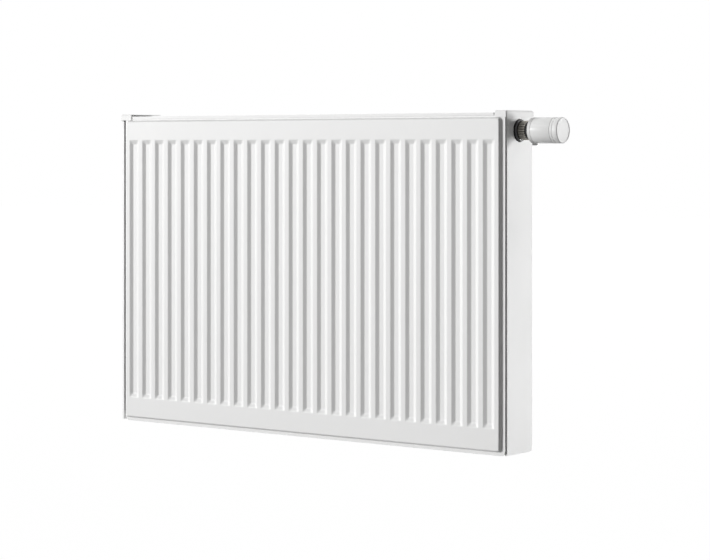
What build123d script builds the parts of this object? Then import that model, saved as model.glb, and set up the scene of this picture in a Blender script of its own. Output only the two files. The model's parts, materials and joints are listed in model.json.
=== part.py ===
"""White double panel radiator with a built-in valve and a thermostatic head.

Frame: origin on the wall side, at mid-length and at the bottom edge, on the back plane of the
hanging lugs. +X runs along the radiator towards the valve, +Y points at the wall, +Z is up.
"""

from build123d import *
import os
from math import atan2, cos, degrees, hypot, radians, tan

os.makedirs("parts", exist_ok=True)

# Overall sizes
body_length = 904.0        # twice the reach of the right cover, over its cap
body_height = 600.0        # bottom rim to the top of the grille
body_depth = 98.0          # between the outer faces of the two panels
lug_standoff = 12.0        # back face of the rear panel to the wall side of the lugs

# Pressed panels
sheet = 1.25               # steel of the four pressed sheets
panel_thickness = 13.0     # one panel, outer face to inner face
rim_side = 6.5             # flat rim beside the field
left_rim_side = 2.0        # narrower rim at the left end
rim_bottom = 6.0
rim_top = 7.0
rim_corner = 10.0
step_run = 3.9             # slope of the field's edge
field_corner = 4.0

# Flutes pressed into each sheet
flute_pitch = 100.0 / 3
flute_width = 22.4
flute_depth = 3.5
flute_wall_run = 7.0       # slope of a flute's long walls
flute_end_run = 8.0        # slope of a flute's two ends
lower_header = 37.0        # plain field below the flutes
upper_header = 35.0        # plain field above the flutes

# Convectors
fin_sheet = 0.5
fin_gap = 7.0              # between the two convectors
fin_foot = 8.0             # flat welded on a rib
fin_leg_run = 3.0          # slope of a fin's leg along X
fin_free_left = 2          # ribs without fins at the left end
fin_free_right = 3         # ribs without fins at the right end, where the riser passes
fin_end_margin = 6.0       # convector stays this far inside the flutes' ends

# Side covers
cover_sheet = 1.2
cover_return = 3.0         # folded edge behind the rim
cover_clearance = 0.9      # rim edge to the inside of the right cover
left_cover_offset = 4.2    # the left cover stands further out
cover_bottom = 0.5
cap_proud = 1.8            # cap stands out from the cover
cap_height = 12.5
cap_rise = 4.0             # cap stands above the grille
cap_width = 26.0           # reach of the hooks along X
hook_clearance = 0.4
cap_rear_corner = 6.0
cap_edge = 2.4
cover_fold_radius = 0.8    # outside of a cover's folds
cover_bottom_corner = 8.0  # rear lower corner of a cover
valve_hole_radius = 20.5
vent_hole_radius = 14.0
hole_collar = 4.0          # drawn edge of a cover's hole

# Top grille
grille_sheet = 1.0
grille_lip = 5.0
grille_end_gap = 1.5       # to the hooks of the side covers
grille_slot_width = 6.0
grille_slot_length = 34.0
grille_slot_pitch = 12.0
grille_row_spacing = 42.0
grille_end_margin = 12.0

# Corner hubs and ports
hub_inset = 38.0           # hub axis to the outer face of the body
hub_radius = 14.0
upper_axis_drop = 19.3     # top edge of the field to the upper hubs
lower_axis_rise = 19.0     # bottom edge of the field to the lower hubs
hub_bore_radius = 9.5
port_bore_radius = 10.5
boss_inset = 18.0          # port face behind the side cover's face
valve_port_reach = 22.0    # hub axis to the inlet face of the valve housing
valve_seat_reach = 10.0    # hub axis to the valve seat
seat_bore_radius = 5.5

# Plugs, insert and their seals
thread_clearance = 0.1
thread_length = 12.0
seal_groove_depth = 1.8
seal_groove_width = 2.4
seal_section_radius = 0.85
plug_flange_radius = 13.5
plug_flange = 5.0
plug_hex = 10.0
plug_hex_depth = 4.0

# Pipes at the bottom
nipple_radius = 13.22      # G3/4 outside thread
nipple_length = 11.0
nipple_spacing = 50.0
nipple_bore_radius = 8.0
nipple_chamfer = 1.0
block_plate = 3.0
block_plate_width = 32.0
block_margin = 16.0
block_column_radius = 11.0
block_column_height = 20.0
neck_radius = 8.0
neck_socket_wall = 2.5
neck_bore_radius = 6.0
neck_length = 3.0
riser_radius = 7.5
riser_bore_radius = 6.0
riser_bend = 26.0
socket_depth = 10.0
socket_clearance = 0.1

# Hanging lugs
lug_sheet = 2.5
lug_foot = 9.0
lug_ribs = 2               # ribs between the two feet
lug_top_width = 46.0
lug_height = 50.0
lug_first_rib = 1          # counted from each end
lug_low = 80.0             # lower edge of the lower lugs
lug_high = 470.0           # lower edge of the upper lugs

# Vent
vent_plug_flange = 4.0
vent_boss_radius = 7.0
vent_boss_end = 5.0        # boss end behind the side cover's face
vent_bore_radius = 3.05
vent_seat_radius = 1.2
vent_seat_length = 4.0
vent_screw_radius = 3.0
vent_screw_gap = 0.3
vent_screw_chamfer = 1.5
vent_square = 5.0
vent_square_length = 5.0
outlet_gap = 0.3
outlet_wall = 4.2
outlet_length = 7.7
spout_radius = 2.5
spout_bore_radius = 1.2
spout_reach = 15.0
spout_root = 2.1           # spout runs this far into the outlet ring

# Valve insert, measured along its axis from the face of the right side cover
insert_flange_radius = 15.5
insert_flange = 7.0
insert_thread_radius = 15.0
insert_end = 18.0
spring_chamber_radius = 5.0
spring_chamber_end = -4.0
chamber_floor = 3.0
gland_bore_radius = 7.0
gland_bore_end = 6.0
ring_recess_radius = 11.0
spindle_radius = 2.0
spindle_fit = 0.1
spindle_tip = 24.0
spindle_collar_radius = 4.6
spindle_collar = 2.0
spindle_collar_at = -12.0
gland_length = 7.9
gland_clearance = 0.1
gland_groove_radius = 4.0
gland_groove_width = 2.4
gland_seal_section = 0.85
disc_radius = 8.0
disc_thickness = 2.4
disc_nose_radius = 2.8
disc_seal_thickness = 2.0
disc_seal_radius = 7.8
valve_lift = 1.6           # seal to seat at rest
spring_wire = 1.0
spring_radius = 3.6
spring_turns = 5
spring_end_gap = 0.3
ring_clearance = 0.3
ring_inner_radius = 7.6
ring_length = 9.0
ring_slot_width = 2.0
ring_slot_depth = 3.0
collar_radius = 19.0
collar_start = -2.0
collar_end = 5.0
collar_clearance = 0.1
collar_chamfer = 1.0

# Union nut
nut_radius = 17.0
nut_start = 6.0
nut_end = 24.0
nut_clearance = 0.15
nut_lip = 3.0
nut_lip_radius = 12.2
knurl_count = 32
knurl_radius = 0.9
knurl_rise = 0.3           # centre of a knurl groove above the nut
knurl_margin = 2.0

# Thermostatic head
head_radius = 22.85
head_start = 28.5
head_end = 89.5
wheel_gap = 0.4            # index collar to hand wheel
wheel_end = 74.4
wheel_wall = 2.35
wheel_web = 3.6
wheel_fit = 0.1
joint_chamfer = 0.5
index_length = 6.0
index_proud = 0.15
index_tab_length = 11.0
index_tab_height = 3.4
index_tab_width = 8.0
index_tab_gap = 0.45
base_flange_radius = 14.8
base_flange_bore = 7.0
base_neck_radius = 11.9
base_disc_radius = 20.0
base_disc_end = 34.0
base_disc_fit = 0.1
base_web_start = 30.0
base_tube_radius = 15.5
base_tube_bore = 13.0
base_tube_end = 57.5
base_slot_start = 44.0
base_slot_width = 5.0
snap_ring_start = 24.3
snap_ring_end = 25.6
snap_ring_radius = 14.2
snap_ring_clearance = 0.1
rod_radius = 3.0
rod_gap = 0.1
rod_head_radius = 6.0
rod_head = 3.0
capsule_start = 42.0
capsule_radius = 12.2
capsule_flange_radius = 19.0
capsule_flange = 2.5
capsule_dome_radius = 14.0
capsule_dome_end = 70.0
carriage_start = 48.0
carriage_end = 68.0
carriage_clearance = 0.3   # to the wheel's thread
carriage_inner_gap = 0.4   # to the base tube
carriage_floor_end = 60.0
carriage_cup_gap = 0.2
carriage_lip = 1.2
carriage_lip_radius = 16.5
key_width = 4.4
key_reach = 12.6
key_margin = 1.0
key_length = 6.5
safety_wire = 1.2
safety_radius = 17.75
safety_turns = 2
safety_end_gap = 0.2
cap_wall = 1.8
cap_spigot = 3.6
cap_spigot_gap = 0.1
cap_rim = 1.0
cap_recess = 0.8
cap_face = 2.0
limit_pin_radius = 1.0
limit_pin_length = 8.0
limit_pin_place = 18.2
limit_pin_fit = 0.1

# Places worked out from the sizes
side_x = body_length / 2 - cap_proud
panel_length = 2 * (side_x - cover_sheet - cover_clearance)
rim_trim = rim_side - left_rim_side
panel_height = body_height - grille_sheet
rise = panel_thickness / 2 - sheet
front_y = -(lug_standoff + body_depth)
rear_y = -lug_standoff
mid_y = (front_y + rear_y) / 2
front_seam_y = front_y + panel_thickness / 2
rear_seam_y = rear_y - panel_thickness / 2
front_inner_y = front_y + panel_thickness
rear_inner_y = rear_y - panel_thickness
field_length = panel_length - 2 * (rim_side + step_run)
flute_count = int(field_length / flute_pitch)
field_bottom = rim_bottom + step_run
field_top = panel_height - rim_top - step_run
flute_bottom = field_bottom + lower_header
flute_top = field_top - upper_header
lower_axis_z = field_bottom + lower_axis_rise
upper_axis_z = field_top - upper_axis_drop
hub_x = body_length / 2 - hub_inset
rib_left_x = -flute_count / 2 * flute_pitch
port_places = [(x, z) for x in (-hub_x, hub_x) for z in (lower_axis_z, upper_axis_z)]

# Axis planes: local X runs outwards from a side cover's face, local Y is up
valve_plane = Plane(origin=(side_x, mid_y, upper_axis_z), x_dir=(1, 0, 0), z_dir=(0, -1, 0))
vent_plane = Plane(origin=(-side_x, mid_y, upper_axis_z), x_dir=(-1, 0, 0), z_dir=(0, 1, 0))
right_drain_plane = Plane(origin=(side_x, mid_y, lower_axis_z), x_dir=(1, 0, 0), z_dir=(0, -1, 0))
left_drain_plane = Plane(origin=(-side_x, mid_y, lower_axis_z), x_dir=(-1, 0, 0), z_dir=(0, 1, 0))


def save(part, name):
    """Label a finished piece and write it as one file."""
    part.label = name
    export_step(part, f"parts/{name}.step")


def across(plane, along):
    """The plane square to an axis plane's local X, at a distance along it."""
    origin = plane.origin + plane.x_dir * along
    return Plane(origin=origin, x_dir=-plane.z_dir, z_dir=plane.x_dir)


def turn(plane, *outline, mode=Mode.ADD):
    """Turn a closed outline of (along, radius) points about the plane's local X axis."""
    with BuildSketch(plane) as profile:
        with BuildLine():
            Polyline(*outline, close=True)
        make_face()
    revolve(profile.sketch, axis=Axis(plane.origin, plane.x_dir), mode=mode)


def coil(plane, start, end, radius, wire, turns):
    """A helical spring of round wire between two places along the plane's local X axis."""
    pitch = (end - start - wire) / turns
    centre = plane.origin + plane.x_dir * (start + wire / 2)
    with BuildPart() as spring:
        with BuildLine() as path:
            Helix(pitch, pitch * turns, radius, center=centre, direction=plane.x_dir)
        with BuildSketch(Plane(origin=path.line @ 0, z_dir=path.line % 0)) as section:
            Circle(wire / 2)
        sweep(section.sketch, path=path.line, is_frenet=True)
    return spring.part


def flute_form(face, grow):
    """The pit of one flute at mid-length, grown sideways to give a sheet its thickness."""
    length = flute_top - flute_bottom
    place = (0, (flute_top + flute_bottom) / 2)
    with BuildPart() as pit:
        with BuildSketch(face):
            with Locations(place):
                Rectangle(flute_width + 2 * grow[0], length + 2 * grow[1])
        with BuildSketch(face.offset(-flute_depth)):
            with Locations(place):
                Rectangle(flute_width + 2 * (grow[0] - flute_wall_run),
                          length + 2 * (grow[1] - flute_end_run))
        loft(ruled=True)
    return pit.part


def pressed_sheet(seam_y, outward, ports):
    """One pressed sheet: flat rim, raised field with sloping edges, upright flutes and port holes."""
    seam = Plane(origin=(0, seam_y, 0), x_dir=(-outward, 0, 0), z_dir=(0, outward, 0))
    slope = degrees(atan2(step_run, rise))
    inset = sheet / cos(radians(slope)) - sheet * tan(radians(slope))
    field_place = (0, (field_bottom + field_top) / 2)
    foot = (field_length + 2 * step_run, field_top - field_bottom + 2 * step_run)
    wall_grow = sheet * (hypot(flute_wall_run, flute_depth) - flute_wall_run) / flute_depth
    end_grow = sheet * (hypot(flute_end_run, flute_depth) - flute_end_run) / flute_depth
    outer_pit = flute_form(seam.offset(sheet + rise), (0, 0))
    inner_pit = flute_form(seam.offset(rise), (wall_grow, end_grow))
    flute_places = [((i - (flute_count - 1) / 2) * flute_pitch, 0, 0) for i in range(flute_count)]
    with BuildPart() as hollow:
        with BuildSketch(seam):
            with Locations(field_place):
                RectangleRounded(foot[0] - 2 * inset, foot[1] - 2 * inset, field_corner)
        extrude(amount=rise, taper=slope)
        with Locations(*flute_places):
            add(inner_pit, mode=Mode.SUBTRACT)
    with BuildPart() as pressed:
        with BuildSketch(seam):
            with Locations((-outward * rim_trim / 2, panel_height / 2)):
                RectangleRounded(panel_length - rim_trim, panel_height, rim_corner)
        extrude(amount=sheet)
        with BuildSketch(seam.offset(sheet)):
            with Locations(field_place):
                RectangleRounded(foot[0], foot[1], field_corner + inset)
        extrude(amount=rise, taper=slope)
        with Locations(*flute_places):
            add(outer_pit, mode=Mode.SUBTRACT)
        add(hollow.part, mode=Mode.SUBTRACT)
        if ports:
            with BuildSketch(seam):
                with Locations(*[(-outward * x, z) for x, z in port_places]):
                    Circle(hub_bore_radius)
            extrude(amount=panel_thickness, mode=Mode.SUBTRACT)
    return pressed.part


save(pressed_sheet(front_seam_y, -1, False), "front_panel_face")
save(pressed_sheet(front_seam_y, 1, True), "front_panel_back")
save(pressed_sheet(rear_seam_y, -1, True), "rear_panel_front")
save(pressed_sheet(rear_seam_y, 1, False), "rear_panel_face")


def convector(foot_y, inward):
    """Folded fins: a flat foot on every rib, and a flat crown between two ribs."""
    depth = (rear_inner_y - front_inner_y - fin_gap) / 2
    foot_line = foot_y + inward * fin_sheet / 2
    crown_line = foot_y + inward * (depth - fin_sheet / 2)
    points = []
    for rib in range(fin_free_left, flute_count + 1 - fin_free_right):
        x = rib_left_x + rib * flute_pitch
        points += [(x - fin_foot / 2 - fin_leg_run, crown_line), (x - fin_foot / 2, foot_line)]
        points += [(x + fin_foot / 2, foot_line), (x + fin_foot / 2 + fin_leg_run, crown_line)]
    with BuildPart() as fins:
        with BuildSketch(Plane.XY.offset(flute_bottom + fin_end_margin)):
            with BuildLine() as fold:
                Polyline(*points)
            trace(fold.line, line_width=fin_sheet)
        extrude(amount=flute_top - flute_bottom - 2 * fin_end_margin)
    return fins.part


save(convector(front_inner_y, 1), "front_convector")
save(convector(rear_inner_y, -1), "rear_convector")


def side_cover(side, end_x, hole_radius):
    """End cover: folded sheet behind the rims, proud top cap, hooks over both panels and a hole."""
    outer = side * end_x
    inner = side * (end_x - cover_sheet)
    fold = side * (end_x - cover_sheet - cover_return)
    front = front_seam_y + sheet
    rear = rear_seam_y - sheet
    cap_top = body_height + cap_rise
    cap_out = side * (end_x + cap_proud)
    cap_in = side * (body_length / 2 - cap_width)
    hook_front = front_seam_y - sheet - hook_clearance - cover_sheet
    hook_rear = rear_seam_y + sheet + hook_clearance + cover_sheet
    hook_bottom = panel_height - rim_top + hook_clearance
    plane = Plane(origin=(outer, mid_y, upper_axis_z), x_dir=(0, 1, 0), z_dir=(side, 0, 0))
    with BuildPart() as cover:
        with BuildSketch(Plane.XY.offset(cover_bottom)):
            with BuildLine():
                Polyline(
                    (outer, front), (outer, rear), (fold, rear), (fold, rear - cover_sheet),
                    (inner, rear - cover_sheet), (inner, front + cover_sheet),
                    (fold, front + cover_sheet), (fold, front), close=True,
                )
            make_face()
        extrude(amount=cap_top - cap_height + cover_sheet - cover_bottom)
        upright_edges = cover.edges().filter_by(Axis.Z).group_by(Axis.X)
        fillet(upright_edges[-1 if side > 0 else 0], cover_fold_radius)
        with BuildSketch(Plane.YZ) as end_view:
            with BuildLine():
                Polyline((front, cover_bottom), (rear, cover_bottom), (rear, cap_top), (front, cap_top),
                         close=True)
            make_face()
            fillet(end_view.vertices().group_by(Axis.Y)[0].sort_by(Axis.X)[-1], cover_bottom_corner)
        extrude(amount=body_length, both=True, mode=Mode.INTERSECT)
        with BuildSketch(Plane.XY.offset(cap_top - cap_height)):
            with BuildLine():
                Polyline((cap_in, hook_front), (cap_out, hook_front),
                         (cap_out, hook_rear), (cap_in, hook_rear), close=True)
            make_face()
        extrude(amount=cap_height)
        fillet(cover.edges().filter_by(Axis.X).group_by(Axis.Z)[-1].sort_by(Axis.Y)[-1], cap_rear_corner)
        cap_corners = cover.edges().filter_by(Axis.Z).filter_by_position(Axis.Y, hook_front, hook_front)
        fillet(cap_corners + cover.faces().sort_by(Axis.Z)[-1].edges(), cap_edge)
        with BuildSketch(Plane.XY.offset(cap_top - cap_height)):
            with BuildLine():
                Polyline(
                    (cap_in, hook_front + cover_sheet), (inner, hook_front + cover_sheet),
                    (inner, hook_rear - cover_sheet), (cap_in, hook_rear - cover_sheet), close=True,
                )
            make_face()
        extrude(amount=cap_height - cover_sheet, mode=Mode.SUBTRACT)
        with BuildSketch(Plane.XY.offset(cap_top - cap_height)):
            with BuildLine():
                Polyline((cap_in, hook_front), (inner, hook_front),
                         (inner, hook_rear), (cap_in, hook_rear), close=True)
            make_face()
        extrude(amount=hook_bottom - (cap_top - cap_height), mode=Mode.SUBTRACT)
        with BuildSketch(plane):
            Circle(hole_radius + cover_sheet)
        extrude(amount=-hole_collar)
        with BuildSketch(plane.offset(cap_proud)):
            Circle(hole_radius)
        extrude(amount=-(hole_collar + cap_proud), mode=Mode.SUBTRACT)
    return cover.part


save(side_cover(1, side_x, valve_hole_radius), "right_side_cover")
save(side_cover(-1, side_x + left_cover_offset, vent_hole_radius), "left_side_cover")

# Top grille
with BuildPart() as top_grille:
    grille_length = body_length - 2 * (cap_width + grille_end_gap)
    grille_front = front_seam_y - sheet - hook_clearance - grille_sheet
    grille_rear = rear_seam_y + sheet + hook_clearance + grille_sheet
    with BuildSketch(Plane.YZ.offset(-grille_length / 2)):
        with BuildLine():
            Polyline(
                (grille_front, body_height - grille_lip), (grille_front, body_height),
                (grille_rear, body_height), (grille_rear, body_height - grille_lip),
                (grille_rear - grille_sheet, body_height - grille_lip),
                (grille_rear - grille_sheet, panel_height), (grille_front + grille_sheet, panel_height),
                (grille_front + grille_sheet, body_height - grille_lip), close=True,
            )
        make_face()
    extrude(amount=grille_length)
    slot_count = int((grille_length - 2 * grille_end_margin) / grille_slot_pitch)
    with BuildSketch(Plane.XY.offset(panel_height)):
        with Locations((0, mid_y)):
            with GridLocations(grille_slot_pitch, grille_row_spacing, slot_count, 2):
                SlotOverall(grille_slot_length, grille_slot_width, rotation=90)
    extrude(amount=grille_sheet, mode=Mode.SUBTRACT)
save(top_grille.part, "top_grille")


def corner_hub(side, axis_z, kind):
    """A corner piece between the panels, with a threaded port towards the side cover."""
    axis_plane = Plane(origin=(side * side_x, mid_y, axis_z), x_dir=(side, 0, 0), z_dir=(0, -side, 0))
    tube_plane = Plane(origin=(side * hub_x, front_inner_y, axis_z), x_dir=(1, 0, 0), z_dir=(0, 1, 0))
    port_depth = side_x - hub_x
    with BuildPart() as hub:
        with BuildSketch(tube_plane):
            Circle(hub_radius)
        extrude(amount=rear_inner_y - front_inner_y)
        with BuildSketch(across(axis_plane, -port_depth)):
            Circle(hub_radius)
        extrude(amount=port_depth - boss_inset)
        if kind == "valve":
            with BuildSketch(across(axis_plane, -port_depth)):
                Circle(hub_radius)
            extrude(amount=-valve_port_reach)
        if kind == "return":
            with BuildSketch(Plane.XY.offset(nipple_length + block_plate)):
                with Locations((side * hub_x, mid_y)):
                    Circle(neck_radius + neck_socket_wall)
            extrude(until=Until.NEXT)
        with BuildSketch(tube_plane):
            Circle(hub_bore_radius)
        extrude(amount=rear_inner_y - front_inner_y, mode=Mode.SUBTRACT)
        bore_end = valve_seat_reach if kind == "valve" else 0
        with BuildSketch(across(axis_plane, -port_depth - bore_end)):
            Circle(port_bore_radius)
        extrude(amount=port_depth + bore_end - boss_inset, mode=Mode.SUBTRACT)
        if kind == "valve":
            with BuildSketch(across(axis_plane, -port_depth - valve_port_reach)):
                Circle(seat_bore_radius)
            extrude(amount=valve_port_reach, mode=Mode.SUBTRACT)
        if kind == "return":
            with BuildSketch(Plane.XY.offset(nipple_length + block_plate)):
                with Locations((side * hub_x, mid_y)):
                    Circle(neck_radius + socket_clearance)
            extrude(amount=hub_radius, mode=Mode.SUBTRACT)
    return hub.part


save(corner_hub(-1, lower_axis_z, "plain"), "lower_left_hub")
save(corner_hub(-1, upper_axis_z, "plain"), "upper_left_hub")
save(corner_hub(1, lower_axis_z, "return"), "lower_right_hub")
save(corner_hub(1, upper_axis_z, "valve"), "valve_housing")


# Riser pipe from the supply nipple to the inlet of the valve housing
supply_x = hub_x - nipple_spacing
block_top = nipple_length + block_plate
column_top = block_top + block_column_height
with BuildPart() as riser_pipe:
    with BuildLine() as riser_path:
        FilletPolyline(
            (supply_x, mid_y, column_top - socket_depth), (supply_x, mid_y, upper_axis_z),
            (hub_x - valve_port_reach, mid_y, upper_axis_z), radius=riser_bend,
        )
    with BuildSketch(Plane(origin=riser_path.line @ 0, z_dir=riser_path.line % 0)) as riser_section:
        Circle(riser_radius)
        Circle(riser_bore_radius, mode=Mode.SUBTRACT)
    sweep(riser_section.sketch, path=riser_path.line)
save(riser_pipe.part, "riser_pipe")

# Connection block: one plate with the two threaded nipples, the riser's socket and the return neck
with BuildPart() as connection_block:
    nipple_places = [(supply_x, mid_y), (hub_x, mid_y)]
    with BuildSketch(Plane.XY):
        with Locations(*nipple_places):
            Circle(nipple_radius)
    extrude(amount=nipple_length)
    chamfer(connection_block.faces().sort_by(Axis.Z)[0:2].edges(), nipple_chamfer)
    with BuildSketch(Plane.XY.offset(nipple_length)):
        with Locations(((supply_x + hub_x) / 2, mid_y)):
            SlotOverall(nipple_spacing + 2 * block_margin, block_plate_width)
    extrude(amount=block_plate)
    with BuildSketch(Plane.XY.offset(block_top)):
        with Locations((supply_x, mid_y)):
            Circle(block_column_radius)
    extrude(amount=block_column_height)
    with BuildSketch(Plane.XY.offset(block_top)):
        with Locations((hub_x, mid_y)):
            Circle(neck_radius)
    extrude(amount=neck_length)
    with BuildSketch(Plane.XY):
        with Locations(*nipple_places):
            Circle(nipple_bore_radius)
    extrude(amount=nipple_length, mode=Mode.SUBTRACT)
    with BuildSketch(Plane.XY):
        with Locations(*nipple_places):
            Circle(neck_bore_radius)
    extrude(amount=column_top, mode=Mode.SUBTRACT)
    with BuildSketch(Plane.XY.offset(column_top)):
        with Locations((supply_x, mid_y)):
            Circle(riser_radius + socket_clearance)
    extrude(amount=-socket_depth, mode=Mode.SUBTRACT)
save(connection_block.part, "connection_block")

# Hanging lugs: four bent straps on the ribs of the rear panel
with BuildPart() as hanging_lugs:
    foot_near = (lug_ribs * flute_pitch - lug_foot) / 2
    foot_far = foot_near + lug_foot
    lug_centre = -rib_left_x - (lug_first_rib + lug_ribs / 2) * flute_pitch
    foot_y = rear_y + lug_sheet / 2
    crown_y = -lug_sheet / 2
    for lug_bottom in (lug_low, lug_high):
        for lug_x in (-lug_centre, lug_centre):
            with BuildSketch(Plane.XY.offset(lug_bottom)):
                with BuildLine() as strap:
                    Polyline(
                        (lug_x - foot_far, foot_y), (lug_x - foot_near, foot_y),
                        (lug_x - lug_top_width / 2, crown_y), (lug_x + lug_top_width / 2, crown_y),
                        (lug_x + foot_near, foot_y), (lug_x + foot_far, foot_y),
                    )
                trace(strap.line, line_width=lug_sheet)
            extrude(amount=lug_height)
save(hanging_lugs.part, "hanging_lugs")

# Ports: one threaded stem with a seal groove, shared by the plugs, the vent and the insert
stem_radius = port_bore_radius - thread_clearance
port_face = -boss_inset
stem_end = port_face - thread_length
groove_radius = stem_radius - seal_groove_depth
groove_end = port_face - seal_groove_width


def stem_outline(flange_radius):
    """Outer edge of a threaded stem with its seal groove, up to the flange that closes the port."""
    return [
        (stem_end, stem_radius), (groove_end, stem_radius), (groove_end, groove_radius),
        (port_face, groove_radius), (port_face, flange_radius),
    ]


with BuildPart() as blind_plugs:
    for plug_plane in (left_drain_plane, right_drain_plane):
        turn(
            plug_plane, (stem_end, 0), *stem_outline(plug_flange_radius),
            (port_face + plug_flange, plug_flange_radius), (port_face + plug_flange, 0),
        )
        with BuildSketch(across(plug_plane, port_face + plug_flange)) as plug_key:
            RegularPolygon(plug_hex / 2, 6, major_radius=False)
        extrude(plug_key.sketch, amount=-plug_hex_depth, mode=Mode.SUBTRACT)
save(blind_plugs.part, "blind_plugs")

with BuildPart() as port_seals:
    seal_radius = groove_radius + seal_section_radius + (seal_groove_depth - 2 * seal_section_radius) / 2
    for seal_plane in (left_drain_plane, right_drain_plane, vent_plane, valve_plane):
        with BuildSketch(seal_plane) as seal_section:
            with Locations(((groove_end + port_face) / 2, seal_radius)):
                Circle(seal_section_radius)
        revolve(seal_section.sketch, axis=Axis(seal_plane.origin, seal_plane.x_dir))
save(port_seals.part, "port_seals")

# Vent: plug, screw with a square head, and the outlet that swivels round the plug's boss
vent_flange_end = port_face + vent_plug_flange
with BuildPart() as vent_plug:
    turn(
        vent_plane, (stem_end, vent_seat_radius), *stem_outline(plug_flange_radius),
        (vent_flange_end, plug_flange_radius), (vent_flange_end, vent_boss_radius),
        (-vent_boss_end, vent_boss_radius), (-vent_boss_end, vent_bore_radius),
        (stem_end + vent_seat_length, vent_bore_radius), (stem_end + vent_seat_length, vent_seat_radius),
    )
save(vent_plug.part, "vent_plug")

with BuildPart() as vent_screw:
    screw_start = stem_end + vent_seat_length + vent_screw_gap
    turn(
        vent_plane, (screw_start, 0), (screw_start, vent_screw_radius - vent_screw_chamfer),
        (screw_start + vent_screw_chamfer, vent_screw_radius), (-vent_boss_end, vent_screw_radius),
        (-vent_boss_end, 0),
    )
    with BuildSketch(across(vent_plane, -vent_boss_end)):
        Rectangle(vent_square, vent_square)
    extrude(amount=vent_square_length)
save(vent_screw.part, "vent_screw")

with BuildPart() as vent_outlet:
    outlet_inner = vent_boss_radius + outlet_gap
    outlet_outer = outlet_inner + outlet_wall
    outlet_start = vent_flange_end + outlet_gap
    outlet_mid = outlet_start + outlet_length / 2
    turn(
        vent_plane, (outlet_start, outlet_inner), (outlet_start, outlet_outer),
        (outlet_start + outlet_length, outlet_outer), (outlet_start + outlet_length, outlet_inner),
    )
    outlet_x = -side_x - outlet_mid
    with BuildSketch(Plane.XY.offset(upper_axis_z - spout_reach)):
        with Locations((outlet_x, mid_y)):
            Circle(spout_radius)
    extrude(amount=spout_reach - outlet_outer + spout_root)
    with BuildSketch(Plane.XY.offset(upper_axis_z - spout_reach)):
        with Locations((outlet_x, mid_y)):
            Circle(spout_bore_radius)
    extrude(amount=spout_reach, mode=Mode.SUBTRACT)
save(vent_outlet.part, "vent_outlet")

# Valve insert
seat_at = hub_x - valve_seat_reach - side_x
insert_flange_end = port_face + insert_flange
chamber_start = stem_end + chamber_floor
with BuildPart() as valve_insert:
    turn(
        valve_plane, (stem_end, spindle_radius + spindle_fit), *stem_outline(insert_flange_radius),
        (insert_flange_end, insert_flange_radius), (insert_flange_end, insert_thread_radius),
        (insert_end, insert_thread_radius), (insert_end, ring_recess_radius),
        (gland_bore_end, ring_recess_radius), (gland_bore_end, gland_bore_radius),
        (spring_chamber_end, gland_bore_radius), (spring_chamber_end, spring_chamber_radius),
        (chamber_start, spring_chamber_radius), (chamber_start, spindle_radius + spindle_fit),
    )
save(valve_insert.part, "valve_insert")

with BuildPart() as gland_nut:
    gland_inner = spindle_radius + spindle_fit
    gland_groove_start = spring_chamber_end + (gland_length - gland_groove_width) / 2
    gland_outer = gland_bore_radius - gland_clearance
    turn(
        valve_plane, (spring_chamber_end, gland_inner), (spring_chamber_end, gland_outer),
        (spring_chamber_end + gland_length, gland_outer), (spring_chamber_end + gland_length, gland_inner),
        (gland_groove_start + gland_groove_width, gland_inner),
        (gland_groove_start + gland_groove_width, gland_groove_radius),
        (gland_groove_start, gland_groove_radius), (gland_groove_start, gland_inner),
    )
save(gland_nut.part, "gland_nut")

with BuildPart() as gland_seal:
    gland_seal_at = gland_groove_start + gland_groove_width / 2
    with BuildSketch(valve_plane):
        with Locations((gland_seal_at, (spindle_radius + gland_groove_radius) / 2)):
            Circle(gland_seal_section)
    revolve(axis=Axis(valve_plane.origin, valve_plane.x_dir))
save(gland_seal.part, "gland_seal")

with BuildPart() as preset_ring:
    ring_start = gland_bore_end + ring_clearance
    ring_outer = ring_recess_radius - ring_clearance
    turn(
        valve_plane, (ring_start, ring_inner_radius), (ring_start, ring_outer),
        (ring_start + ring_length, ring_outer), (ring_start + ring_length, ring_inner_radius),
    )
    with BuildSketch(across(valve_plane, ring_start + ring_length)):
        Rectangle(2 * ring_outer, ring_slot_width)
    extrude(amount=-ring_slot_depth, mode=Mode.SUBTRACT)
save(preset_ring.part, "preset_ring")

# Spindle with its disc and seal
seal_face = seat_at + valve_lift
disc_start = seal_face + disc_seal_thickness
disc_end = disc_start + disc_thickness
with BuildPart() as valve_spindle:
    collar_stop = spindle_collar_at + spindle_collar
    turn(
        valve_plane, (disc_end, 0), (disc_end, spindle_radius), (spindle_collar_at, spindle_radius),
        (spindle_collar_at, spindle_collar_radius), (collar_stop, spindle_collar_radius),
        (collar_stop, spindle_radius), (spindle_tip, spindle_radius), (spindle_tip, 0),
    )
save(valve_spindle.part, "valve_spindle")

with BuildPart() as valve_disc:
    turn(
        valve_plane, (seal_face, 0), (seal_face, disc_nose_radius), (disc_start, disc_nose_radius),
        (disc_start, disc_radius), (disc_end, disc_radius), (disc_end, 0),
    )
save(valve_disc.part, "valve_disc")

with BuildPart() as disc_seal:
    turn(
        valve_plane, (seal_face, disc_nose_radius), (seal_face, disc_seal_radius),
        (disc_start, disc_seal_radius), (disc_start, disc_nose_radius),
    )
save(disc_seal.part, "disc_seal")

spring_start = chamber_start + spring_end_gap
spring_end = spindle_collar_at - spring_end_gap
return_spring = coil(valve_plane, spring_start, spring_end, spring_radius, spring_wire, spring_turns)
save(return_spring, "return_spring")

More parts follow.
